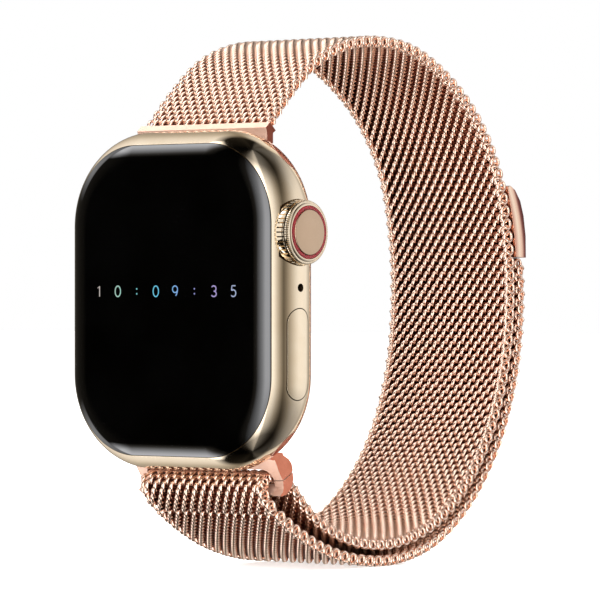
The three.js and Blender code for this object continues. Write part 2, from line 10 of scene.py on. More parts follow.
import bmesh
import bpy
import numpy as np
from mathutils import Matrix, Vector

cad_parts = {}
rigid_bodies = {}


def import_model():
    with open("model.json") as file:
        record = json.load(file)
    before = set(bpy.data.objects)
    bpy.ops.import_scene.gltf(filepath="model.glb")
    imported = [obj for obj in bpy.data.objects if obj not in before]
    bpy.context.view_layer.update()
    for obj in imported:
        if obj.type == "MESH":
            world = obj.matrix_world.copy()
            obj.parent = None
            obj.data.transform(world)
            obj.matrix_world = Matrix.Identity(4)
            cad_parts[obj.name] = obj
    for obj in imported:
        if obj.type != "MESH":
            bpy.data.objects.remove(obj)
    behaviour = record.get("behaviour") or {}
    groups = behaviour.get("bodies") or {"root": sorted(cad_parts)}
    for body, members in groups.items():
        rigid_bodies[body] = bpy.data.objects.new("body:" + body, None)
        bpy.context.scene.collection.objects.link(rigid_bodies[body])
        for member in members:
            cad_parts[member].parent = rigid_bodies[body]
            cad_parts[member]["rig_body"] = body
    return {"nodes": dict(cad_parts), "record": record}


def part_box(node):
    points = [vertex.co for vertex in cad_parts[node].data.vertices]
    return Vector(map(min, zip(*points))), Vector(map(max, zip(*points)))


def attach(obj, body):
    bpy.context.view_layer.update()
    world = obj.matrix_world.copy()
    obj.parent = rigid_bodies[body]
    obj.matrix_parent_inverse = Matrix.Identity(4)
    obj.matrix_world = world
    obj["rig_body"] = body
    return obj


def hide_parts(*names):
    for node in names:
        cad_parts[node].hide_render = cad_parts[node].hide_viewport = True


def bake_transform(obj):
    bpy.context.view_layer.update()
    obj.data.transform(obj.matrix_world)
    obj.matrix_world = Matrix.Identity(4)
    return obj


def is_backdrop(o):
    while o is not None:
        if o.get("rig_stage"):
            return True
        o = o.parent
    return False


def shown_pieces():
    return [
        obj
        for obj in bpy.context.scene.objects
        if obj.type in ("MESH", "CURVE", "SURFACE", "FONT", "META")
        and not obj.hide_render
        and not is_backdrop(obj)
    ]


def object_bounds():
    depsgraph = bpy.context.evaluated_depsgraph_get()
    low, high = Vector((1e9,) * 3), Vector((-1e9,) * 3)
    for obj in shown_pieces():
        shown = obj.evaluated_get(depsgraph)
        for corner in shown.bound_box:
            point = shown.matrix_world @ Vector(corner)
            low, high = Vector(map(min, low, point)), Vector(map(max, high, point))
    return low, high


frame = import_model()
CAD_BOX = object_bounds()
MM = 0.001
TAU = 2 * math.pi


def box_mm(node):
    """Lowest and highest corner of a CAD node, in millimetres."""
    low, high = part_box(node)
    return np.array(low) / MM, np.array(high) / MM


def span_along_x(node):
    """A round node's two ends along X, and its radius."""
    low, high = box_mm(node)
    return (low[0], high[0]), (high[2] - low[2]) / 2


# ---------- Camera ----------

CAMERA_AZIMUTH = math.radians(40)
CAMERA_DISTANCE = 548.2
CAMERA_TARGET = (0.0, 14.47, 0.05)
CAMERA_LENS = 264


def make_camera():
    data = bpy.data.cameras.new("camera")
    camera = bpy.data.objects.new("camera", data)
    bpy.context.scene.collection.objects.link(camera)
    back = Vector((math.sin(CAMERA_AZIMUTH), -math.cos(CAMERA_AZIMUTH), 0))
    camera.location = (Vector(CAMERA_TARGET) + back * CAMERA_DISTANCE) * MM
    camera.rotation_mode = "QUATERNION"
    camera.rotation_quaternion = (-back).to_track_quat("-Z", "Y")
    data.sensor_width = 36
    data.lens = CAMERA_LENS
    data.clip_start, data.clip_end = 0.01, 20
    bpy.context.scene.camera = camera


make_camera()

# ---------- Materials ----------


def srgb(*levels):
    """A linear colour from levels of 0 to 255."""
    return tuple(((v / 255 + 0.055) / 1.055) ** 2.4 if v > 10 else v / 255 / 12.92 for v in levels)


class Nodes:
    """A short way to write a node tree."""

    def __init__(self, tree):
        self.tree = tree

    def add(self, kind, **values):
        node = self.tree.nodes.new(kind)
        for key, value in values.items():
            setattr(node, key, value)
        return node

    def link(self, a, b):
        self.tree.links.new(a, b)

    def math(self, operation, a, b=0.0):
        node = self.add("ShaderNodeMath", operation=operation)
        for socket, value in zip(node.inputs, (a, b)):
            if isinstance(value, (int, float)):
                socket.default_value = value
            else:
                self.link(value, socket)
        return node.outputs[0]

    def between(self, value, from_low, from_high, to_low=0.0, to_high=1.0):
        node = self.add("ShaderNodeMapRange")
        self.link(value, node.inputs["Value"])
        for name, v in zip(("From Min", "From Max", "To Min", "To Max"), (from_low, from_high, to_low, to_high)):
            node.inputs[name].default_value = v
        return node.outputs[0]

    def split(self, vector):
        """A vector's X, Y and Z."""
        node = self.add("ShaderNodeSeparateXYZ")
        self.link(vector, node.inputs[0])
        return node.outputs

    def noise(self, vector, scale, detail=3.0, roughness=0.5, stretch=None):
        if stretch:
            mapping = self.add("ShaderNodeMapping")
            mapping.inputs["Scale"].default_value = stretch
            self.link(vector, mapping.inputs["Vector"])
            vector = mapping.outputs[0]
        node = self.add("ShaderNodeTexNoise")
        node.inputs["Scale"].default_value = scale
        node.inputs["Detail"].default_value = detail
        node.inputs["Roughness"].default_value = roughness
        self.link(vector, node.inputs["Vector"])
        return node.outputs[0]

    def ramp(self, value, stops, kind="LINEAR"):
        node = self.add("ShaderNodeValToRGB")
        node.color_ramp.interpolation = kind
        elements = node.color_ramp.elements
        for place, colour in stops[2:]:
            elements.new(place)
        for element, (place, colour) in zip(elements, sorted(stops, key=lambda s: s[0])):
            element.position = place
            element.color = (*colour, 1)
        self.link(value, node.inputs[0])
        return node.outputs[0]

    def mix(self, share, a, b, kind="MIX"):
        node = self.add("ShaderNodeMix", data_type="RGBA", blend_type=kind)
        for socket, value in zip((node.inputs[0], node.inputs[6], node.inputs[7]), (share, a, b)):
            if isinstance(value, (int, float)):
                socket.default_value = value
            elif isinstance(value, tuple):
                socket.default_value = (*value, 1)
            else:
                self.link(value, socket)
        return node.outputs[2]


def material(name):
    """A new node material: (material, its nodes, its Principled shader, object coordinates in metres)."""
    made = bpy.data.materials.new(name)
    made.use_nodes = True
    nodes = Nodes(made.node_tree)
    shader = made.node_tree.nodes["Principled BSDF"]
    coordinates = nodes.add("ShaderNodeTexCoord").outputs["Object"]
    return made, nodes, shader, coordinates


def surface(name, light, dark, rough, metallic=1.0, grain=2500, bump=0.02, bump_scale=6000, stretch=None, ior=None):
    """A finish whose colour, roughness and fine relief vary by noise: light to dark colour, rough as (low, high)."""
    made, nodes, shader, where = material(name)
    broad = nodes.noise(where, grain, 4, 0.55, stretch)
    fine = nodes.noise(where, bump_scale, 2, 0.6, stretch)
    nodes.link(nodes.ramp(broad, [(0.3, dark), (0.7, light)]), shader.inputs["Base Color"])
    nodes.link(nodes.between(broad, 0.25, 0.75, *rough), shader.inputs["Roughness"])
    shader.inputs["Metallic"].default_value = metallic
    if ior:
        shader.inputs["IOR"].default_value = ior
    relief = nodes.add("ShaderNodeBump")
    relief.inputs["Strength"].default_value = bump
    relief.inputs["Distance"].default_value = 0.02 * MM
    nodes.link(fine, relief.inputs["Height"])
    nodes.link(relief.outputs[0], shader.inputs["Normal"])
    return made


GOLD = surface("polished_gold", srgb(250, 232, 204), srgb(246, 226, 196), (0.07, 0.1), grain=400, bump=0.04)
GOLD_SATIN = surface("satin_gold", srgb(204, 176, 148), srgb(198, 170, 142), (0.22, 0.25), grain=500, bump=0.004)
# The case's cut walls: rougher than the polished outside, and darker gold as painted shade in the recesses.
GOLD_WALL_SHADE = surface("cut_gold_painted_shade", srgb(190, 160, 118), srgb(150, 120, 84), (0.3, 0.45), grain=2000, bump=0.1)
ROSE = surface("rose_gold", srgb(250, 208, 180), srgb(242, 194, 164), (0.13, 0.2), grain=900, bump=0.05)
ROSE_SATIN = surface(
    "rose_gold_satin", srgb(196, 160, 142), srgb(188, 152, 134), (0.36, 0.46), 0.4, grain=900, bump=0.03
)
# Darker and more orange copies of the rose gold, for faces that point along X: painted shade with a painted orange
# reflection.
ROSE_PAINTED_SHADE = surface("rose_gold_shaded", srgb(140, 76, 58), srgb(120, 62, 46), (0.25, 0.35), grain=900, bump=0.05)
ROSE_END_SHADE = surface("rose_gold_end_painted_shade", srgb(216, 134, 106), srgb(202, 120, 92), (0.2, 0.28), grain=900, bump=0.05)
# A dark copy of the rose gold for the linking rods: painted shade in the gaps between the coils.
ROSE_ROD_SHADE = surface("rose_gold_rod_painted_shade", srgb(128, 72, 54), srgb(98, 52, 38), (0.3, 0.45), grain=1400, bump=0.1)
ROSE_WIRE = surface("rose_gold_wire", srgb(255, 226, 206), srgb(246, 206, 184), (0.14, 0.22), grain=1400, bump=0.08)
STEEL = surface("brushed_steel", srgb(196, 198, 202), srgb(168, 170, 174), (0.25, 0.4), bump=0.1, stretch=(1, 1, 12))
BRASS = surface("brass", srgb(212, 172, 92), srgb(184, 140, 66), (0.28, 0.4), bump=0.08)
COPPER = surface("copper_wire", srgb(200, 128, 88), srgb(160, 92, 60), (0.3, 0.45), bump=0.2, stretch=(1, 6, 1))
MAGNET = surface("nickel_plate", srgb(176, 178, 182), srgb(150, 152, 156), (0.2, 0.32), bump=0.06)
RUBBER = surface("gasket_rubber", srgb(34, 34, 36), srgb(22, 22, 24), (0.7, 0.85), 0.0, bump=0.3)
BOARD = surface("circuit_board", srgb(26, 70, 50), srgb(16, 48, 36), (0.45, 0.6), 0.0, bump=0.2)
DARK = surface("dark_laminate", srgb(44, 45, 50), srgb(30, 31, 34), (0.4, 0.55), 0.0, bump=0.15)
CERAMIC = surface("dark_ceramic", srgb(40, 41, 45), srgb(32, 33, 36), (0.16, 0.24), 0.0, grain=800, bump=0.04)
ENAMEL = surface("red_enamel", srgb(96, 4, 10), srgb(84, 3, 8), (0.34, 0.46), 0.0, grain=1800, bump=0.05)
# Near-black for the floors and cut faces of the crown's grooves: painted shade in the recesses.
GROOVE_SHADE = surface("groove_painted_shade", srgb(26, 20, 16), srgb(14, 11, 9), (0.35, 0.5), 0.4, bump=0.2)
CRYSTAL = surface("black_crystal", srgb(1, 1, 1), srgb(0, 0, 0), (0.015, 0.03), 0.0, grain=150, bump=0.004, ior=1.77)


def back_crystal_finish():
    """Dark glass over the sensors: a bright ring, and four round windows with a lighter patch between them."""
    made, nodes, shader, where = material("sensor_crystal")
    x, _, z = nodes.split(where)
    radius = nodes.math("SQRT", nodes.math("ADD", nodes.math("MULTIPLY", x, x), nodes.math("MULTIPLY", z, z)))

    def band(value, inner, outer, soft=0.05):
        rise = nodes.between(value, (inner - soft) * MM, (inner + soft) * MM)
        fall = nodes.between(value, (outer - soft) * MM, (outer + soft) * MM, 1.0, 0.0)
        return nodes.math("MULTIPLY", rise, fall)

    def window(cx, cz, size):
        dx, dz = nodes.math("SUBTRACT", x, cx * MM), nodes.math("SUBTRACT", z, cz * MM)
        away = nodes.math("SQRT", nodes.math("ADD", nodes.math("MULTIPLY", dx, dx), nodes.math("MULTIPLY", dz, dz)))
        return nodes.between(away, (size - 0.06) * MM, (size + 0.06) * MM, 1.0, 0.0)

    speckle = nodes.noise(where, 3000, 3)
    colour = nodes.ramp(speckle, [(0.3, srgb(9, 9, 11)), (0.7, srgb(13, 13, 15))])
    colour = nodes.mix(band(radius, 8.7, 9.05), colour, srgb(96, 92, 88))
    colour = nodes.mix(band(radius, 3.0, 7.4), colour, srgb(20, 20, 23))
    for turn in range(4):
        a = math.radians(45 + 90 * turn)
        colour = nodes.mix(window(5.2 * math.cos(a), 5.2 * math.sin(a), 1.45), colour, srgb(60, 42, 38))
        b = math.radians(90 * turn)
        colour = nodes.mix(window(5.2 * math.cos(b), 5.2 * math.sin(b), 0.85), colour, srgb(40, 62, 46))
    colour = nodes.mix(window(0, 0, 1.7), colour, srgb(34, 34, 40))
    nodes.link(colour, shader.inputs["Base Color"])
    nodes.link(nodes.between(speckle, 0.3, 0.7, 0.03, 0.06), shader.inputs["Roughness"])
    shader.inputs["IOR"].default_value = 1.77
    return made


def clasp_painted_light():
    """Rose gold whose flanks carry a painted highlight, then painted shade that darkens towards the clasp's curved
    outer face.
    """
    low, high = box_mm("clasp_shell")
    made, nodes, shader, where = material("rose_gold_clasp_painted_light")
    _, y, z = nodes.split(where)
    up = nodes.between(z, low[2] * MM, high[2] * MM)
    bulge = nodes.math("MULTIPLY", nodes.math("MULTIPLY", up, up), 0.6 * (high[1] - low[1]) * MM)
    depth = nodes.between(nodes.math("ADD", y, bulge), (high[1] - 2.1) * MM, high[1] * MM)
    grain = nodes.noise(where, 900, 4, 0.55)
    # Painted light across the flank: a pale painted highlight in the middle, then painted shade to dark brown at the
    # outer face.
    painted_bands = [
        (0.0, srgb(206, 150, 130)), (0.35, srgb(250, 224, 198)), (0.62, srgb(232, 190, 166)),
        (0.82, srgb(128, 74, 66)), (1.0, srgb(88, 46, 42)),
    ]
    tone = nodes.ramp(depth, painted_bands)
    # Only faces that point along X take the painted bands; the others stay plain rose gold.
    facing = nodes.split(nodes.add("ShaderNodeTexCoord").outputs["Normal"])
    flank = nodes.between(nodes.math("ABSOLUTE", facing["X"]), 0.6, 0.9)
    nodes.link(nodes.mix(flank, srgb(232, 178, 152), tone), shader.inputs["Base Color"])
    nodes.link(nodes.between(grain, 0.3, 0.7, 0.18, 0.26), shader.inputs["Roughness"])
    shader.inputs["Metallic"].default_value = 1.0
    return made


def display_finish(half_width):
    """Light from the display, its colour running from pinkish grey through blue to violet across the face."""
    made, nodes, shader, where = material("display_light")
    share = nodes.between(nodes.split(where)["X"], -half_width * MM, half_width * MM)
    stops = [
        (0.0, srgb(190, 172, 168)), (0.16, srgb(160, 205, 190)), (0.3, srgb(125, 215, 220)),
        (0.45, srgb(90, 190, 225)), (0.6, srgb(125, 165, 225)), (0.75, srgb(160, 150, 215)),
        (0.87, srgb(175, 160, 215)), (1.0, srgb(165, 185, 215)),
    ]
    colour = nodes.ramp(share, stops)
    shader.inputs["Base Color"].default_value = (0.01, 0.01, 0.01, 1)
    shader.inputs["Roughness"].default_value = 0.4
    nodes.link(colour, shader.inputs["Emission Color"])
    shader.inputs["Emission Strength"].default_value = 0.95
    return made


# ---------- Mesh helpers ----------


def link_mesh(name, mesh, finish, smooth=True):
    for polygon in mesh.polygons:
        polygon.use_smooth = smooth
    mesh.materials.clear()
    for made in finish if isinstance(finish, (list, tuple)) else [finish]:
        mesh.materials.append(made)
    made = bpy.data.objects.new(name, mesh)
    bpy.context.scene.collection.objects.link(made)
    return made


def mesh_of(name, points, faces):
    """A mesh from points in millimetres."""
    mesh = bpy.data.meshes.new(name)
    mesh.from_pydata([tuple(float(c) * MM for c in p) for p in points], [], [tuple(f) for f in faces])
    mesh.update()
    return mesh


def quads_mesh(name, points, quads):
    """A mesh from large arrays: points in millimetres, and rows of four corners."""
    mesh = bpy.data.meshes.new(name)
    mesh.vertices.add(len(points))
    mesh.vertices.foreach_set("co", (np.asarray(points, np.float32) * MM).ravel())
    mesh.loops.add(quads.size)
    mesh.loops.foreach_set("vertex_index", quads.astype(np.int32).ravel())
    mesh.polygons.add(len(quads))
    mesh.polygons.foreach_set("loop_start", np.arange(0, quads.size, 4, dtype=np.int32))
    mesh.update(calc_edges=True)
    return mesh


def ring_faces(rings, around):
    """Quads between rings that follow each other, each with the same count of points."""
    faces = []
    for i in range(rings - 1):
        for j in range(around):
            k = (j + 1) % around
            faces.append((i * around + j, i * around + k, (i + 1) * around + k, (i + 1) * around + j))
    return faces


def outward(mesh):
    """Turns every face of a closed mesh out."""
    bm = bmesh.new()
    bm.from_mesh(mesh)
    bmesh.ops.recalc_face_normals(bm, faces=bm.faces)
    bm.to_mesh(mesh)
    bm.free()
    return mesh


def lofted(name, rings):
    """A closed skin over rings, with a flat face at each end."""
    around = len(rings[0])
    faces = ring_faces(len(rings), around)
    faces.append(tuple(range(around)))
    faces.append(tuple(range((len(rings) - 1) * around, len(rings) * around)))
    return outward(mesh_of(name, np.concatenate(rings), faces))


def rounded_outline(half_x, half_z, radius, corner_steps=24, straight=1.0):
    """(X, Z) points round a rounded rectangle, and the outward direction at each."""
    points, directions = [], []
    for corner, (sx, sz) in enumerate([(1, 1), (-1, 1), (-1, -1), (1, -1)]):
        for i in range(corner_steps + 1):
            a = (corner + i / corner_steps) * math.pi / 2
            away = np.array([math.cos(a), math.sin(a)])
            points.append(np.array([sx * (half_x - radius), sz * (half_z - radius)]) + radius * away)
            directions.append(away)
        run = 2 * ((half_x if corner in (0, 2) else half_z) - radius)
        steps = max(1, round(run / straight))
        along = {0: (-1, 0), 1: (0, -1), 2: (1, 0), 3: (0, 1)}[corner]
        for i in range(1, steps):
            points.append(points[-1] + np.array(along) * run / steps)
            directions.append(directions[-1])
    return np.array(points), np.array(directions)


def plate(name, half_x, half_z, radius, y0, y1, at=(0, 0)):
    """A rounded rectangle drawn out along Y."""
    outline, _ = rounded_outline(half_x, half_z, radius, 12, 50)
    x, z = (outline + np.array(at)).T
    rings = [np.column_stack([x, np.full(len(x), y), z]) for y in (y0, y1)]
    return lofted(name, rings)


def drawn_along_x(name, outline, x0, x1):
    """An outline of (Y, Z) points drawn out along X."""
    rings = [np.array([(x, y, z) for y, z in outline]) for x in (x0, x1)]
    return lofted(name, rings)


def circle(radius, y, z, count=48):
    return [(y + radius * math.cos(TAU * i / count), z + radius * math.sin(TAU * i / count)) for i in range(count)]


def pill(length, width, y, z, count=24):
    """A slot's outline with round ends along Z."""
    r, run = width / 2, length / 2 - width / 2
    turns = [math.pi * i / count for i in range(count + 1)]
    upper = [(y + r * math.cos(a), z + run + r * math.sin(a)) for a in turns]
    lower = [(y - r * math.cos(a), z - run - r * math.sin(a)) for a in turns]
    return upper + lower


def turned_x(name, profile, y, z, count=96, shape=None):
    """A turned skin round an axis along X. The profile is (radius, X); shape(radius, angle) may change a radius."""
    rings = []
    for radius, x in profile:
        ring = []
        for i in range(count):
            a = TAU * i / count
            r = shape(radius, a) if shape else radius
            ring.append((x, y + r * math.cos(a), z + r * math.sin(a)))
        rings.append(np.array(ring))
    return lofted(name, rings)


def with_modifiers(mesh, build):
    """The mesh after the modifiers that build(object) puts on it."""
    scratch = bpy.data.objects.new("scratch", mesh)
    bpy.context.scene.collection.objects.link(scratch)
    others = build(scratch)
    bpy.context.view_layer.update()
    graph = bpy.context.evaluated_depsgraph_get()
    result = bpy.data.meshes.new_from_object(scratch.evaluated_get(graph))
    for o in [scratch, *others]:
        bpy.data.objects.remove(o)
    return result


def combined(mesh, tools, operation="DIFFERENCE"):
    """The mesh with other meshes cut from it, joined to it, or kept in common with it."""

    def build(scratch):
        others = []
        for tool in tools:
            other = bpy.data.objects.new("tool", tool)
            bpy.context.scene.collection.objects.link(other)
            step = scratch.modifiers.new("boolean", "BOOLEAN")
            step.operation, step.solver, step.object = operation, "EXACT", other
            others.append(other)
        return others

    return with_modifiers(mesh, build)


def hard_edges(bm, angle):
    return [e for e in bm.edges if len(e.link_faces) == 2 and e.calc_face_angle(0) > math.radians(angle)]


def ease(bm, edges, width, segments):
    """Rounds edges off, width in millimetres."""
    bmesh.ops.bevel(
        bm, geom=edges, offset=width * MM, segments=segments, profile=0.5, affect="EDGES", clamp_overlap=True
    )


def refined(node, name, finish, bevel, sharp=38, segments=2):
    """A copy of a CAD node with its flats made whole, its hard edges eased and its round sides shaded smooth."""
    source = frame["nodes"][node]
    bm = bmesh.new()
    bm.from_mesh(source.data)
    bmesh.ops.remove_doubles(bm, verts=bm.verts, dist=1e-6)
    bmesh.ops.dissolve_limit(bm, angle_limit=math.radians(0.6), verts=bm.verts, edges=bm.edges)
    ease(bm, hard_edges(bm, sharp), bevel, segments)
    mesh = bpy.data.meshes.new(name)
    bm.to_mesh(mesh)
    bm.free()
    made = link_mesh(name, mesh, finish)
    mesh.set_sharp_from_angle(angle=math.radians(40))
    weighted = made.modifiers.new("weighted", "WEIGHTED_NORMAL")
    weighted.keep_sharp = True
    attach(made, source["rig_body"])
    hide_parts(node)
    return made


def placed(made, body, slot, *nodes):
    """Hangs a piece on its body, in place of these CAD nodes."""
    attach(made, body)
    if nodes:
        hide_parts(*nodes)
    return made


# ---------- Case and crystal ----------

CASE_LOW, CASE_HIGH = box_mm("case_housing")
CRYSTAL_LOW = box_mm("front_crystal")[0]
HALF_X, HALF_Z = CASE_HIGH[0], CASE_HIGH[2]
SIDE = (CASE_HIGH[1] - CRYSTAL_LOW[1]) / 2
MIDDLE = (CASE_HIGH[1] + CRYSTAL_LOW[1]) / 2
CORNER = 11.5
SEAM_Y = CASE_LOW[1]
SEAM_ANGLE = math.asin((SEAM_Y - MIDDLE) / SIDE)
GLASS_EDGE = SEAM_ANGLE - 0.022
CORE, CORE_OUT = rounded_outline(HALF_X - SIDE, HALF_Z - SIDE, CORNER - SIDE, 28, 0.9)


def body_rings(start, end, steps):
    """Rings of the case's outer form between two angles round its full-round side."""
    rings = []
    for i in range(steps + 1):
        a = start + (end - start) * i / steps
        flat = CORE + CORE_OUT * SIDE * math.cos(a)
        rings.append(np.column_stack([flat[:, 0], np.full(len(flat), MIDDLE + SIDE * math.sin(a)), flat[:, 1]]))
    return rings


def body_normal(points):
    """How far points are from the case's outer form, and the form's own outward direction there."""
    half = np.array([HALF_X - CORNER, HALF_Z - CORNER])
    flat = points[:, [0, 2]]
    q = np.abs(flat) - half
    beyond = np.maximum(q, 0)
    length = np.linalg.norm(beyond, axis=1)
    inside = np.minimum(q.max(axis=1), 0)
    edge = length + inside - (CORNER - SIDE)
    away = np.where(length[:, None] > 1e-9, beyond / np.maximum(length, 1e-9)[:, None], 0) * np.sign(flat)
    out = np.maximum(edge, 0)
    depth = points[:, 1] - MIDDLE
    reach = np.sqrt(out**2 + depth**2)
    normal = np.column_stack([away[:, 0] * out, depth, away[:, 1] * out]) / np.maximum(reach, 1e-9)[:, None]
    return reach - SIDE, normal


ON_FORM = 0.03  # a vertex nearer than this to the outer form lies on it


def shade(mesh, agreement=0.9, limit=0):
    """Gives the faces on the case's outer form that form's exact normals, so that their reflections run smooth.

    Any other face keeps its own normal, or takes the mean of the faces within limit degrees of it at each corner.
    """
    corners = np.array([v.co for v in mesh.vertices]) / MM
    distance, exact = body_normal(corners)
    parallel = math.cos(math.radians(limit))
    around = [[] for _ in mesh.vertices]
    for polygon in mesh.polygons if limit else ():
        for v in polygon.vertices:
            around[v].append((np.array(polygon.normal), polygon.area))
    normals = np.zeros((len(mesh.loops), 3))
    for polygon in mesh.polygons:
        own = np.array(polygon.normal)
        for loop in polygon.loop_indices:
            vertex = mesh.loops[loop].vertex_index
            if abs(distance[vertex]) < ON_FORM and exact[vertex] @ own > agreement:
                normals[loop] = exact[vertex]
            elif limit:
                mean = sum(n * area for n, area in around[vertex] if n @ own > parallel)
                normals[loop] = mean / max(np.linalg.norm(mean), 1e-12)
            else:
                normals[loop] = own
    mesh.normals_split_custom_set([tuple(n) for n in normals])
    return distance


CROWN_LOW, CROWN_HIGH = box_mm("crown_knob")
CROWN_Y = (CROWN_LOW[1] + CROWN_HIGH[1]) / 2
CROWN_Z = (CROWN_LOW[2] + CROWN_HIGH[2]) / 2
CROWN_R = (CROWN_HIGH[2] - CROWN_LOW[2]) / 2
RECESS_X = CROWN_LOW[0] - 0.32  # deeper than the crown's travel
BUTTON_LOW, BUTTON_HIGH = box_mm("side_button_cap")
BUTTON_Y = (BUTTON_LOW[1] + BUTTON_HIGH[1]) / 2
BUTTON_Z = (BUTTON_LOW[2] + BUTTON_HIGH[2]) / 2
BUTTON_SIZE = (BUTTON_HIGH[2] - BUTTON_LOW[2], BUTTON_HIGH[1] - BUTTON_LOW[1])
MICROPHONE_Z = sum(corner[2] for corner in box_mm("microphone")) / 2
RIM_X = 16.4  # only the button's outer rim reaches past this
GAP = 0.12  # round parts that slide


def section_of(node, side_x):
    """The outline of a bar-like node's end face, as ordered (Y, Z) points in millimetres."""
    mesh = frame["nodes"][node].data
    points = np.round(np.array([v.co for v in mesh.vertices]) / MM, 3)
    keep = {}
    index = [keep.setdefault(tuple(p), len(keep)) for p in points]
    places = np.array(list(keep))
    uses = {}
    for polygon in mesh.polygons:
        corners = [index[v] for v in polygon.vertices]
        if all(abs(places[c][0] - side_x) < 0.01 for c in corners):
            for a, b in zip(corners, corners[1:] + corners[:1]):
                key = (min(a, b), max(a, b))
                uses[key] = uses.get(key, 0) + 1
    rim = [key for key, count in uses.items() if count == 1]
    ahead = {}
    for a, b in rim:
        ahead.setdefault(a, []).append(b)
        ahead.setdefault(b, []).append(a)
    start = rim[0][0]
    walk, last = [start], None
    while True:
        here = walk[-1]
        step = [n for n in ahead[here] if n != last]
        last = here
        if not step or step[0] == start:
            break
        walk.append(step[0])
    return places[walk][:, 1:]


# Sides are 1 for the upper lug and -1 for the lower. Depths run back from the case's middle plane.
# The bead's section, as its middle and half sizes, and each neck's: front edge, then back edge, from the bead out.
BEAD = (1.95, 17.4, 1.8, 1.75)
LUG_HALF = {1: 10.4, -1: 11.5}
LUG_CUT = {1: 18.85, -1: 18.25}  # the case's outer form trims a lug up to this height
SLOT_HALF = 10.15
SLOT_TOP = -20.35
BAR = (0.7, 4.35, -22.8)  # the turn-over rod's radius and place
RELEASE_Z = 16.35
RELEASE_HALF = (1.7, 0.55)
LATCH_POCKET_HALF = (2.07, 0.87)
NECKS = {
    1: ([(2.0, 18.2), (2.0, 20.1), (1.8, 20.75), (2.52, 21.4)], [(3.1, 18.2), (3.1, 20.1), (3.6, 20.42)]),
    -1: (
        [(1.75, -18.1), (1.95, -18.9), (2.4, -19.6), (2.75, -20.3), (3.1, -20.85), (3.6, -21.6)],
        [(3.45, -18.1), (3.75, -18.6), (4.7, -19.05), (5.25, -19.6), (5.5, -20.3), (5.45, -20.6)],
    ),
}


def lug_sections(side, grow, reach=20):
    """A lug's bead and neck, drawn out along X."""
    depth, z, half_depth, half_z = BEAD
    wide, high = half_depth + grow, half_z + grow
    oval = [(MIDDLE + depth + wide * y, side * z + high * up) for y, up in circle(1, 0, 0, 96)]
    front, back = NECKS[side]
    outline = [(MIDDLE + d - grow, z) for d, z in front] + [(MIDDLE + d + grow, z) for d, z in reversed(back)]
    return [drawn_along_x("bead", oval, -reach, reach), drawn_along_x("neck", outline, -reach, reach)]


def block(x, y, z):
    """A block between two X, two Y and two Z."""
    outline = [(y[0], z[0]), (y[1], z[0]), (y[1], z[1]), (y[0], z[1])]
    return drawn_along_x("block", outline, *x)


def make_lug(name, node, side):
    bead, neck = lug_sections(side, 0)
    made = combined(bead, [neck], "UNION")
    outer = lofted("outer", body_rings(-math.pi / 2, math.pi / 2, 88))
    half = LUG_HALF[side]
    outside = block((-half, half), (MIDDLE + 0.1, MIDDLE + 7), sorted((side * LUG_CUT[side], side * 26)))
    made = combined(made, [combined(outer, [outside], "UNION")], "INTERSECT")
    across, along = LATCH_POCKET_HALF
    pocket_z = (side * RELEASE_Z - along, side * RELEASE_Z + along)
    tools = [block((-across, across), (MIDDLE + 2.2, MIDDLE + 5), pocket_z)]
    if side < 0:
        tools.append(plate("slot", SLOT_HALF, 3.2, 1.25, MIDDLE, MIDDLE + 9, (0, SLOT_TOP - 3.2)))
    mesh = combined(made, tools)
    lug = link_mesh(name, mesh, [ROSE_SATIN, ROSE_END_SHADE, ROSE_PAINTED_SHADE])
    # Faces that point along X take the darker copies: painted shade and painted reflection on the lug's ends.
    for polygon in mesh.polygons:
        shade_limits = (0.5, 0.97 if side > 0 else 2)
        polygon.material_index = sum(abs(polygon.normal.x) > limit for limit in shade_limits)
    shade(mesh, 0.95, 38)
    placed(lug, "band", "rose_gold", node)


def make_lug_bar():
    ends = [
        (3.66, -21.7), (3.75, -22.4), (3.6, -23), (3.15, -23.45), (3.6, -23.5), (4.3, -23.3),
        (5.2, -22.5), (5.6, -21.6), (5.5, -20.72),
    ]
    outline = [(MIDDLE + d, z) for d, z in ends]
    radius, depth, z = BAR
    left = drawn_along_x("end", outline, -LUG_HALF[-1], -SLOT_HALF)
    right = drawn_along_x("end", outline, SLOT_HALF, LUG_HALF[-1])
    rod = drawn_along_x("rod", circle(radius, MIDDLE + depth, z), -10.6, 10.6)
    mesh = combined(left, [rod, right], "UNION")
    bar = link_mesh("lug_bar", mesh, [ROSE_SATIN, ROSE_END_SHADE])
    # The ends, which point along X, take the darker, more orange copy: painted shade and painted reflection.
    for polygon in mesh.polygons:
        polygon.material_index = int(abs(polygon.normal.x) > 0.5)
    shade(mesh, 0.95, 38)
    placed(bar, "band", "rose_gold", "lower_lug_bar")


# Rounded bays in the case, each as its half width, half height and corner radius.
CRYSTAL_SEAT = (15.05, 18.05, 8.8)
DISPLAY_POCKET = (14.35, 17.35, 8.1)
MAIN_BAY = (14.9, 14.9, 6.5)
BACK_SEAT = (11.5, 14.5, 5.6)
BACK_OPENING = (10.8, 13.8, 4.9)
SPEAKER_SLOT = (5.6, 0.9)  # length and width


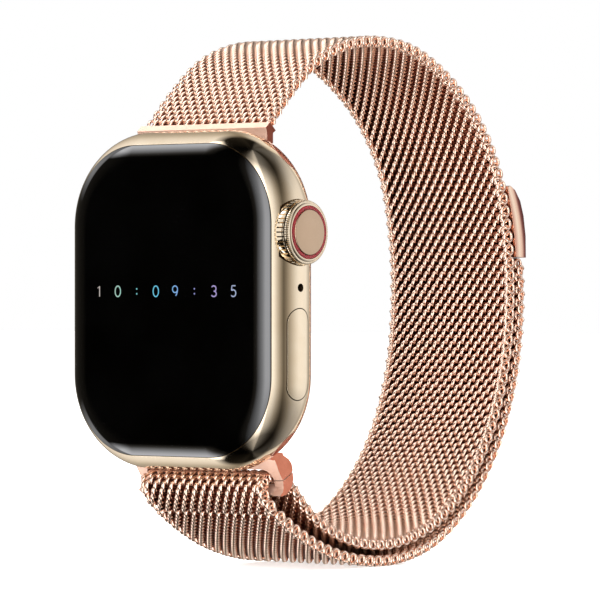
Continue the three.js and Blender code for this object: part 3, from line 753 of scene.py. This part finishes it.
def make_case():
    """The case with its bays, holes, slots and recesses."""
    shell = lofted("case_shell", body_rings(SEAM_ANGLE, math.pi / 2, 44))
    ledge = SEAM_Y + 0.6
    pocket_y = MIDDLE - 1.15
    back = CASE_HIGH[1]
    cutters = [
        plate("cut", *CRYSTAL_SEAT, SEAM_Y - 1, ledge),
        plate("cut", *DISPLAY_POCKET, SEAM_Y - 1, pocket_y),
        plate("cut", *MAIN_BAY, pocket_y - 0.1, MIDDLE + 3.35),
        plate("cut", *BACK_SEAT, back - 0.9, back + 1),
        plate("cut", *BACK_OPENING, pocket_y, back + 1),
        drawn_along_x("cut", circle(CROWN_R + 0.09, CROWN_Y, CROWN_Z, 96), RECESS_X, 20),
        drawn_along_x("cut", circle(1.8, CROWN_Y, CROWN_Z), 14, 17),
        drawn_along_x("cut", circle(0.5, MIDDLE - 0.2, MICROPHONE_Z, 32), 14, 18),
        drawn_along_x("cut", pill(*(size + 2 * GAP for size in BUTTON_SIZE), BUTTON_Y, BUTTON_Z), 15.6, 18),
    ]
    cutters += [drawn_along_x("cut", circle(0.75, BUTTON_Y, BUTTON_Z + dz), 14, 16) for dz in (-3, 3)]
    cutters += [drawn_along_x("cut", pill(*SPEAKER_SLOT, MIDDLE, z), -18, -14) for z in (-3.6, 3.6)]
    for side in (1, -1):
        across, along = (half + GAP for half in RELEASE_HALF)
        cutters.append(plate("cut", across, along, along - 0.01, MIDDLE + 2.5, back + 1, (0, side * RELEASE_Z)))
        cutters += lug_sections(side, GAP)
    mesh = combined(shell, cutters)
    made = link_mesh("case_shell", mesh, [GOLD, GOLD_WALL_SHADE])
    distance = shade(mesh)
    # Faces off the outer form, the walls of bays, holes and recesses, take the darker cut gold: painted shade.
    for polygon in mesh.polygons:
        if max(abs(distance[v]) for v in polygon.vertices) > 0.06:
            polygon.material_index = 1
    placed(made, "case", "case_gold", "case_housing")


def make_crystal():
    glass = lofted("front_glass", body_rings(-math.pi / 2, GLASS_EDGE, 30))
    made = link_mesh("front_glass", glass, CRYSTAL)
    shade(glass)
    placed(made, "case", "crystal", "front_crystal")


def make_side_button():
    face = drawn_along_x("button", pill(*BUTTON_SIZE, BUTTON_Y, BUTTON_Z, 40), 16.1, 18)
    outer = lofted("outer", body_rings(-math.pi / 2, math.pi / 2, 88))
    mesh = combined(face, [outer], "INTERSECT")
    bm = bmesh.new()
    bm.from_mesh(mesh)
    rim = [e for e in hard_edges(bm, 50) if min(v.co.x for v in e.verts) > RIM_X * MM]
    ease(bm, rim, 0.09, 3)
    bm.to_mesh(mesh)
    bm.free()
    made = link_mesh("side_button_face", mesh, GOLD)
    shade(mesh)
    placed(made, "side_button", "case_gold", "side_button_cap")


# ---------- Crown ----------

TEETH = 44
GROOVE_FROM = 3.6  # radius from which the knurled parts' cut faces are dark: painted shade in the grooves


def teeth(depth, count):
    """Cuts grooves this deep between so many teeth."""

    def shape(radius, a):
        wave = abs(math.sin(count * a / 2))
        return radius - depth * (1 - min(1, wave * 2.2)) if radius > GROOVE_FROM + 0.05 else radius

    return shape


def turned_ring(name, profile, count=144):
    """A ring round the crown's axis, from the closed profile of its section as (radius, X)."""
    rows = []
    for r, x in profile:
        angles = [TAU * i / count for i in range(count)]
        rows.append(np.array([(x, CROWN_Y + r * math.cos(a), CROWN_Z + r * math.sin(a)) for a in angles]))
    faces = ring_faces(len(rows), count)
    last = (len(rows) - 1) * count
    faces += [(last + j, last + (j + 1) % count, (j + 1) % count, j) for j in range(count)]
    return outward(mesh_of(name, np.concatenate(rows), faces))


def crown_piece(name, mesh, finish, slot, *nodes, sharp=50):
    made = link_mesh(name, mesh, finish)
    mesh.set_sharp_from_angle(angle=math.radians(sharp))
    placed(made, "crown", slot, *nodes)


# Paints shade on the faces deep in the knurling's grooves.
def paint_groove_shade(mesh):
    for polygon in mesh.polygons:
        middle = polygon.center / MM
        radius = math.hypot(middle.y - CROWN_Y, middle.z - CROWN_Z)
        if GROOVE_FROM < radius < CROWN_R - 0.14 and abs(polygon.normal.x) < 0.5:
            polygon.material_index = 1


def make_crown():
    """The knurled barrel and collar with a groove between them, the bezel, the red ring and the end disc."""
    inner, outer = CROWN_LOW[0], CROWN_HIGH[0]
    barrel = [
        (3.3, inner), (3.6, inner + 0.02), (CROWN_R - 0.04, inner + 0.12), (CROWN_R, inner + 0.3),
        (CROWN_R, inner + 1.1), (CROWN_R - 0.06, inner + 1.24), (3.5, inner + 1.28),
    ]
    collar = [
        (3.5, inner + 1.42), (CROWN_R - 0.08, inner + 1.45), (CROWN_R - 0.06, inner + 1.6),
        (CROWN_R - 0.14, inner + 1.8), (3.6, inner + 1.88),
    ]
    groove = [(3.56, inner + 1.2), (3.56, inner + 1.5)]
    bezel = [
        (3.16, inner + 1.5), (3.5, inner + 1.6), (3.54, inner + 1.86), (3.5, inner + 1.92), (3.42, inner + 1.98),
        (3.3, outer), (3.2, outer), (3.17, outer - 0.06), (3.17, inner + 1.4),
    ]
    knurled = (
        ("crown_barrel", barrel, 880, teeth(0.26, TEETH), ["crown_knob"]),
        ("crown_collar", collar, 1056, teeth(0.16, 2 * TEETH), []),
    )
    for name, profile, count, shape, nodes in knurled:
        mesh = turned_x(name, profile, CROWN_Y, CROWN_Z, count, shape)
        crown_piece(name, mesh, [GOLD, GROOVE_SHADE], "case_gold", *nodes, sharp=35)
        paint_groove_shade(mesh)
    crown_piece("crown_bezel", turned_ring("crown_bezel", bezel), GOLD, "case_gold", sharp=35)
    # The groove's floor is a near-black ring: painted shade.
    crown_piece("crown_groove", turned_x("crown_groove", groove, CROWN_Y, CROWN_Z), GROOVE_SHADE, "dark", sharp=35)

    (ring_back, ring_face), ring_r = span_along_x("crown_ring")
    (cap_back, cap_face), cap_r = span_along_x("crown_cap")
    enamel = [
        (cap_r, ring_back), (ring_r, ring_back), (ring_r, ring_face - 0.05), (ring_r - 0.06, ring_face),
        (cap_r + 0.04, ring_face), (cap_r, ring_face - 0.04),
    ]
    crown_piece("crown_red_ring", turned_ring("crown_red_ring", enamel), ENAMEL, "red_ring", "crown_ring")
    edge = 0.1
    cap = [(cap_r, cap_back), (cap_r, cap_face - edge)]
    for a in (0.5, 1.0, 1.5):
        cap.append((cap_r - edge + edge * math.cos(a), cap_face - edge + edge * math.sin(a)))
    disc = turned_x("crown_disc", cap, CROWN_Y, CROWN_Z, 144)
    crown_piece("crown_disc", disc, GOLD_SATIN, "case_gold", "crown_cap")


# ---------- Woven strap ----------

STRAP_X = box_mm("strap_loop")[1][0]
STRAP_T = 1.5
ROW = 0.828  # between the middles of two coils
COLUMNS = 14.5  # turns of a coil across the strap
WIRE = (0.18, 0.265)  # half thickness and half width of the flattened wire
ROD = (0.42, 0.2)  # half width and half thickness of the straight wires that link the coils
COIL_ALONG = 0.64  # the coil's half size along the strap, and through it
COIL_ACROSS = STRAP_T / 2 - WIRE[0]
STEPS_A_TURN = 14
SIDES = 6


def centre_line(node, start):
    """The middle line of a CAD strip as (Y, Z) points, from the end nearest to start."""
    rim = section_of(node, box_mm(node)[1][0])
    half = len(rim) // 2

    def unevenness(turned):
        pairs = np.linalg.norm(turned[:half] - turned[half:][::-1], axis=1)
        return pairs.std() + abs(pairs.mean() - STRAP_T)

    turned = min((np.roll(rim, -shift, axis=0) for shift in range(half)), key=unevenness)
    line = (turned[:half] + turned[half:][::-1]) / 2
    if np.linalg.norm(line[0] - start) > np.linalg.norm(line[-1] - start):
        line = line[::-1]
    return line


class Line:
    """A smooth line in the YZ plane, read by its length, with its outward direction."""

    def __init__(self, points):
        points = np.array(points)
        lengths = np.concatenate([[0], np.cumsum(np.linalg.norm(np.diff(points, axis=0), axis=1))])
        self.total = lengths[-1]
        self.at_knots, self.knots = lengths, points
        self.slopes = np.gradient(points, lengths, axis=0)

    def at(self, s):
        """The place and the unit slope at length s along a cubic between the knots."""
        s = np.asarray(s, float)
        i = np.clip(np.searchsorted(self.at_knots, s, side="right") - 1, 0, len(self.at_knots) - 2)
        h = (self.at_knots[i + 1] - self.at_knots[i])[..., None]
        t = (s - self.at_knots[i])[..., None] / h
        p0, p1, m0, m1 = self.knots[i], self.knots[i + 1], self.slopes[i] * h, self.slopes[i + 1] * h
        place = (2 * t**3 - 3 * t**2 + 1) * p0 + (t**3 - 2 * t**2 + t) * m0
        place = place + (3 * t**2 - 2 * t**3) * p1 + (t**3 - t**2) * m1
        slope = ((6 * t**2 - 6 * t) * (p0 - p1) + (3 * t**2 - 4 * t + 1) * m0 + (3 * t**2 - 2 * t) * m1) / h
        slope = slope / np.linalg.norm(slope, axis=-1, keepdims=True)
        return place, slope


def coil(line, s, row):
    """One coil of flattened wire across the strap at length s: its points and quads. Its ends crowd at the edges."""
    edge = STRAP_X - WIRE[1] - (0.4 if row % 2 else 0.0)
    spare = 0.75
    count = int((COLUMNS + 2 * spare) * STEPS_A_TURN)
    turn = np.linspace(-spare, COLUMNS + spare, count + 1)
    pitch = 2 * (STRAP_X - WIRE[1]) / COLUMNS
    x = (turn - COLUMNS / 2) * pitch
    soft = 0.35
    past = np.abs(x) - edge + soft
    x = np.where(past > 0, np.sign(x) * (edge - soft + soft * np.tanh(past / soft)), x)
    angle = TAU * turn + math.pi * (row % 2) + math.pi / 2
    along = COIL_ALONG * np.sin(angle)
    across = COIL_ACROSS * np.cos(angle)
    centre, slope = line.at(s + along)
    out = np.column_stack([-slope[:, 1], slope[:, 0]])
    path = np.column_stack([x, centre[:, 0] + out[:, 0] * across, centre[:, 1] + out[:, 1] * across])
    forward = np.gradient(path, axis=0)
    forward /= np.linalg.norm(forward, axis=1, keepdims=True)
    size = np.hypot(along, across)
    radial = np.column_stack([
        np.zeros(len(x)),
        (slope[:, 0] * along + out[:, 0] * across) / size,
        (slope[:, 1] * along + out[:, 1] * across) / size,
    ])
    side = np.cross(forward, radial)
    side /= np.linalg.norm(side, axis=1, keepdims=True)
    radial = np.cross(side, forward)
    shrink = np.ones(len(x))
    shrink[[0, -1]] = 0.05
    points = []
    for k in range(SIDES):
        a = TAU * (k + 0.5) / SIDES
        points.append(path + (radial * WIRE[0] * math.cos(a) + side * WIRE[1] * math.sin(a)) * shrink[:, None])
    points = np.stack(points, axis=1).reshape(-1, 3)
    i = np.arange(len(x) - 1)[:, None] * SIDES
    k = np.arange(SIDES)[None, :]
    n = (k + 1) % SIDES
    quads = np.stack([i + k, i + n, i + SIDES + n, i + SIDES + k], axis=-1).reshape(-1, 4)
    return points, quads


def linking_rod(line, s):
    """The straight wire that joins a coil to the next one, through both."""
    centre, slope = line.at(np.array([min(s, line.total)]))
    out = np.array([-slope[0, 1], slope[0, 0]])
    half = STRAP_X - 0.75
    points = []
    for x, size in ((-half - 0.1, 0.3), (-half, 1), (half, 1), (half + 0.1, 0.3)):
        for k in range(SIDES):
            a = TAU * k / SIDES + math.pi / 2
            y, z = centre[0] + size * (ROD[0] * slope[0] * math.sin(a) + ROD[1] * out * math.cos(a))
            points.append((x, y, z))
    return np.array(points), np.array(ring_faces(4, SIDES))


def weave(name, line, places, first_row):
    """A piece of the strap: the coils whose middles are at these lengths."""
    points, quads, inner, offset = [], [], [], 0
    for i, s in enumerate(places):
        for part, (p, q) in enumerate((coil(line, s, first_row + i), linking_rod(line, s + ROW / 2))):
            points.append(p)
            quads.append(q + offset)
            inner.append(np.full(len(q), part))
            offset += len(p)
    mesh = quads_mesh(name, np.concatenate(points), np.concatenate(quads))
    # The linking rods take the dark copy of the rose gold: painted shade in the gaps between the coils.
    made = link_mesh(name, mesh, [ROSE_WIRE, ROSE_ROD_SHADE])
    mesh.polygons.foreach_set("material_index", np.concatenate(inner).astype(np.int32))
    return made


TAIL_PIECES = 5


def make_loop():
    """The loop round the wrist, woven in three lengths, and its count of rows."""
    loop = Line(centre_line("strap_loop", np.array([MIDDLE + 3.08, 20.9])))
    rows = round(loop.total / ROW)
    places = (np.arange(rows) + 0.5) * loop.total / rows
    for i, part in enumerate(np.array_split(np.arange(rows), 3)):
        made = weave(f"strap_weave_{i + 1}", loop, places[part], int(part[0]))
        placed(made, "band", "rose_gold", *(["strap_loop"] if i == 0 else []))
    return loop, rows


def make_tail(loop, loop_rows):
    """The tail, in lengths that each reach across one hinge, and a last one that rides on the clasp's piece."""
    pieces, joints = [], []
    here = loop.knots[-1]
    for i in range(TAIL_PIECES):
        pieces.append(centre_line(f"strap_tail_{i + 1}", here))
        here = pieces[-1][-1]
        joints.append(sum(len(p) for p in pieces))
    tail = Line(np.concatenate(pieces))
    knots = tail.at_knots
    hinges = [0.0] + [float(knots[j - 1] + knots[j]) / 2 for j in joints[:-1]]
    ends = [*hinges, tail.total]
    middles = [(a + b) / 2 for a, b in zip(ends, ends[1:])]
    rows = round(tail.total / ROW)
    places = (np.arange(rows) + 0.5) * tail.total / rows
    cuts = [0.0, *middles, tail.total + 1]
    for i, (start, end) in enumerate(zip(cuts, cuts[1:])):
        part = np.where((places >= start) & (places < end))[0]
        made = weave(f"tail_weave_{i + 1}", tail, places[part], loop_rows + int(part[0]))
        if i == TAIL_PIECES:
            placed(made, f"tail_{i}", "rose_gold", f"strap_tail_{i}")
            continue
        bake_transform(made)
        if i > 0:
            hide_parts(f"strap_tail_{i}")


# ---------- Display ----------


def arc(cx, cz, rx, rz, start, end, count=14):
    """Points on an ellipse between two angles in degrees."""
    turns = [math.radians(start + (end - start) * i / count) for i in range(count + 1)]
    return [(cx + rx * math.cos(a), cz + rz * math.sin(a)) for a in turns]


# Thin digits on a grid 1 wide and 1.35 high, each a list of strokes.
DIGITS = {
    "0": [arc(0.5, 0.675, 0.46, 0.675, 0, 360, 32)],
    "1": [[(0.28, 1.08), (0.6, 1.35), (0.6, 0)]],
    "3": [arc(0.48, 1.0, 0.38, 0.35, 150, -90, 16), arc(0.48, 0.34, 0.42, 0.34, 90, -150, 18)],
    "5": [[(0.82, 1.35), (0.24, 1.35), (0.18, 0.74)], arc(0.46, 0.42, 0.42, 0.42, 128, -140, 20)],
    "9": [arc(0.5, 0.93, 0.42, 0.42, 0, 360, 26), arc(0.32, 0.93, 0.6, 0.93, 0, -62, 12)],
    ":": [arc(0.5, 0.98, 0.035, 0.035, 0, 360, 10), arc(0.5, 0.36, 0.035, 0.035, 0, 360, 10)],
}


def make_display():
    """The time in thin digits, spaced wide across the middle of the display."""
    text, width, height = "10:09:35", 22.6, 1.28
    unit = height / 1.35
    y = CRYSTAL_LOW[1] - 0.012
    line_half = 0.068
    lift = 0.02  # the strokes' thickness
    rise = 1.1  # from the display's middle to the digits' middle
    points, faces = [], []
    step = (width - unit) / (len(text) - 1)
    for i, sign in enumerate(text):
        left = -width / 2 + i * step
        for stroke in DIGITS[sign]:
            path = np.array([(left + px * unit, pz * unit - height / 2 + rise) for px, pz in stroke])
            ahead = np.gradient(path, axis=0)
            ahead /= np.linalg.norm(ahead, axis=1, keepdims=True)
            beside = np.column_stack([-ahead[:, 1], ahead[:, 0]]) * line_half
            start = len(points)
            for p, b in zip(path, beside):
                for q, depth in ((p + b, y), (p - b, y), (p - b, y + lift), (p + b, y + lift)):
                    points.append((q[0], depth, q[1]))
            faces += [tuple(start + c for c in f) for f in ring_faces(len(path), 4)]
            for end in (start, len(points) - 4):
                faces.append(tuple(range(end, end + 4)))
    mesh = outward(mesh_of("display_digits", points, faces))
    made = link_mesh("display_digits", mesh, display_finish(width / 2), smooth=False)
    placed(made, "case", "crystal")


# ---------- Put together ----------

make_case()
make_crystal()
make_side_button()
make_crown()
make_tail(*make_loop())
make_display()
make_lug("lug_upper", "upper_lug", 1)
make_lug("lug_lower", "lower_lug", -1)
make_lug_bar()
# Release buttons, clasp and back keep their CAD form.
refined("clasp_shell", "clasp_body", clasp_painted_light(), 0.3, segments=4)
refined("clasp_plate", "clasp_inlay", ROSE, 0.1)
refined("clasp_magnet", "clasp_magnet_bar", MAGNET, 0.12)
refined("release_button_upper", "release_upper_face", GOLD, 0.08)
refined("release_button_lower", "release_lower_face", GOLD, 0.08)
refined("back_cover", "back_frame", CERAMIC, 0.1, sharp=30)
refined("back_crystal", "back_glass", back_crystal_finish(), 0.06, sharp=30)

FINISH_OF_SLOT = {
    "case_gold": GOLD, "rose_gold": ROSE, "crystal": CRYSTAL, "red_ring": ENAMEL, "steel": STEEL, "brass": BRASS,
    "copper": COPPER, "magnet": MAGNET, "rubber": RUBBER, "board": BOARD, "dark": DARK, "ceramic": CERAMIC,
}
for row in frame["record"]["subparts"]:
    mesh = frame["nodes"][row["node"]].data
    mesh.materials.clear()
    mesh.materials.append(FINISH_OF_SLOT[row["material_slot"]])

# ---------- Floor, light and surroundings ----------


def make_floor():
    half = 3000
    corners = [(-half, -half), (half, -half), (half, half), (-half, half)]
    mesh = mesh_of("floor", [(x, y, CAD_BOX[0][2] / MM) for x, y in corners], [(0, 1, 2, 3)])
    made, nodes, shader, where = material("pale_floor")
    mottle = nodes.noise(where, 6, 3)
    tones = [(0.3, srgb(244, 243, 241)), (0.7, srgb(248, 247, 246))]
    nodes.link(nodes.ramp(mottle, tones), shader.inputs["Base Color"])
    shader.inputs["Roughness"].default_value = 0.9
    shader.inputs["Specular IOR Level"].default_value = 0.1
    shader.inputs["Emission Color"].default_value = (1, 1, 1, 1)
    shader.inputs["Emission Strength"].default_value = 0.62
    floor = link_mesh("floor", mesh, made)
    floor.visible_glossy = False
    floor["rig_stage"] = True


LOOP_MIDDLE = Vector((0, 15, 0))


def area_light(name, place, size, power, glossy=False, only=()):
    """A square soft light aimed at the loop's middle, which shines only on the named pieces if there are any."""
    data = bpy.data.lights.new(name, "AREA")
    data.shape, data.size, data.energy = "SQUARE", size * MM, power
    light = bpy.data.objects.new(name, data)
    bpy.context.scene.collection.objects.link(light)
    light.location = Vector(place) * MM
    light.rotation_mode = "QUATERNION"
    light.rotation_quaternion = (LOOP_MIDDLE - Vector(place)).to_track_quat("-Z", "Y")
    light.visible_glossy = glossy
    light.visible_camera = False
    if only:
        lit = bpy.data.collections.new(name + "_lights")
        for piece in only:
            lit.objects.link(piece)
        light.light_linking.receiver_collection = lit
        light.light_linking.blocker_collection = lit


# Brightness of the studio round the watch, by the compass angle in degrees from the display's way towards the crown.
ROUND_THE_STUDIO = [
    (-180, 0.5), (-166, 0.8), (-156, 0.06), (-140, 0.08), (-133, 0.16), (-120, 0.12), (-100, 0.08), (-60, 0.04),
    (-45, 0.006), (-18, 0.008), (-6, 0.16), (3, 1.1), (12, 2.2),
    (22, 4.2), (33, 4.2), (37, 1.35), (48, 1.0), (57, 0.62), (66, 0.34), (75, 0.13), (84, 0.24), (94, 0.42),
    (104, 0.62), (115, 0.82), (126, 0.98), (140, 1.02), (160, 0.98), (180, 0.5),
]
# The long panels above and below, left of the camera, by the same angle: what the rim sees, then what the glass sees.
RIM_PANELS = [
    (-180, 0.4), (-166, 0.5), (-158, 0.75), (-150, 0.65), (-142, 0.35), (-135, 0.2), (-127, 0.34), (-119, 0.5),
    (-109, 0.72), (-99, 0.86), (-84, 0.98), (-81, 0.0),
]
GLASS_PANELS = [(-83, 0.0), (-80, 3.8), (-72, 3.8), (-65, 2.8), (-60, 1.7), (-54, 0.5), (-50, 0.15), (-42, 0.0)]
BRIGHTEST = 6.0


def make_world():
    """Grey panels all round, which only light and reflections see, and plain white for the camera."""
    world = bpy.data.worlds.new("studio")
    bpy.context.scene.world = world
    world.use_nodes = True
    tree = world.node_tree
    tree.nodes.clear()
    nodes = Nodes(tree)
    x, y, z = nodes.split(nodes.add("ShaderNodeTexCoord").outputs["Generated"])
    compass = nodes.math("ARCTAN2", x, nodes.math("MULTIPLY", y, -1.0))
    height = nodes.math("ARCSINE", z)
    degrees = nodes.math("MULTIPLY", compass, 180 / math.pi)
    climb = nodes.math("MULTIPLY", height, 180 / math.pi)
    lean = nodes.math("MULTIPLY", nodes.math("MULTIPLY", climb, climb), 0.0064)
    shifted = nodes.math("SUBTRACT", degrees, nodes.math("MULTIPLY", lean, nodes.between(degrees, 40, 90)))

    def grey(level):
        warm = min(1.0, max(0.0, level / 0.9))
        return tuple(level / BRIGHTEST * c for c in (1.0, 0.86 + 0.14 * warm, 0.66 + 0.36 * warm))

    stops = [((a + 180) / 360, grey(v)) for a, v in ROUND_THE_STUDIO]
    around = nodes.ramp(nodes.between(shifted, -180, 180), stops)
    rise = [
        (-90, 0.03), (-64, 0.04), (-58, 0.1), (-48, 0.22), (-36, 0.36), (-27, 0.5), (-10, 0.95), (0, 1.0), (27, 0.85),
        (38, 0.62), (48, 0.38), (56, 0.2), (62, 0.12), (90, 0.07),
    ]
    front_rise = [
        (-90, 0.05), (-64, 0.12), (-52, 0.4), (-36, 0.62), (-10, 0.95), (0, 1.0), (27, 0.9), (38, 0.78), (48, 0.6),
        (58, 0.32), (66, 0.14), (90, 0.07),
    ]

    def by_height(profile):
        return nodes.ramp(nodes.between(climb, -90, 90), [((a + 90) / 180, (v, v, v)) for a, v in profile])

    up = nodes.mix(nodes.between(degrees, 45, 85), by_height(front_rise), by_height(rise))
    light = nodes.mix(1.0, around, up, "MULTIPLY")
    level = nodes.math("ABSOLUTE", climb)
    below_top = nodes.between(level, 52, 62, 1.0, 0.0)
    for row, low, high in ((RIM_PANELS, 8, 18), (GLASS_PANELS, 28, 37)):
        panel = nodes.ramp(nodes.between(degrees, -180, 180), [((a + 180) / 360, grey(v)) for a, v in row])
        window = nodes.math("MULTIPLY", nodes.between(level, low, high), below_top)
        light = nodes.mix(1.0, light, nodes.mix(1.0, panel, window, "MULTIPLY"), "ADD")
    seen = nodes.add("ShaderNodeBackground")
    nodes.link(light, seen.inputs[0])
    seen.inputs[1].default_value = BRIGHTEST
    plain = nodes.add("ShaderNodeBackground")
    plain.inputs[0].default_value = (1, 1, 1, 1)
    plain.inputs[1].default_value = 1.0
    choose = nodes.add("ShaderNodeMixShader")
    nodes.link(nodes.add("ShaderNodeLightPath").outputs["Is Camera Ray"], choose.inputs[0])
    nodes.link(seen.outputs[0], choose.inputs[1])
    nodes.link(plain.outputs[0], choose.inputs[2])
    nodes.link(choose.outputs[0], nodes.add("ShaderNodeOutputWorld").inputs[0])


make_floor()
make_world()
area_light("overhead", (40, -60, 420), 420, 6)
area_light("front_left", (-320, -380, 260), 300, 4)
area_light("back_right", (320, 340, 260), 300, 4)
ridges = [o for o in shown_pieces() if o.name.startswith(("crown_barrel", "crown_collar"))]
area_light("front_panel", (-320, -380, 30), 420, 0.55, glossy=True, only=ridges)
area_light("front_panel_high", (-250, -300, 380), 380, 0.4, glossy=True, only=ridges)
mesh_pieces = [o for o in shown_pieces() if "weave" in o.name]
for name, place, power in (
    ("mesh_top", (-120, -60, 460), 1.1),
    ("mesh_front", (-320, -380, -20), 0.9),
    ("mesh_low_right", (380, -80, -320), 1.4),
):
    area_light(name, place, 360, power, glossy=True, only=mesh_pieces)
bpy.context.scene.view_settings.view_transform = "Standard"
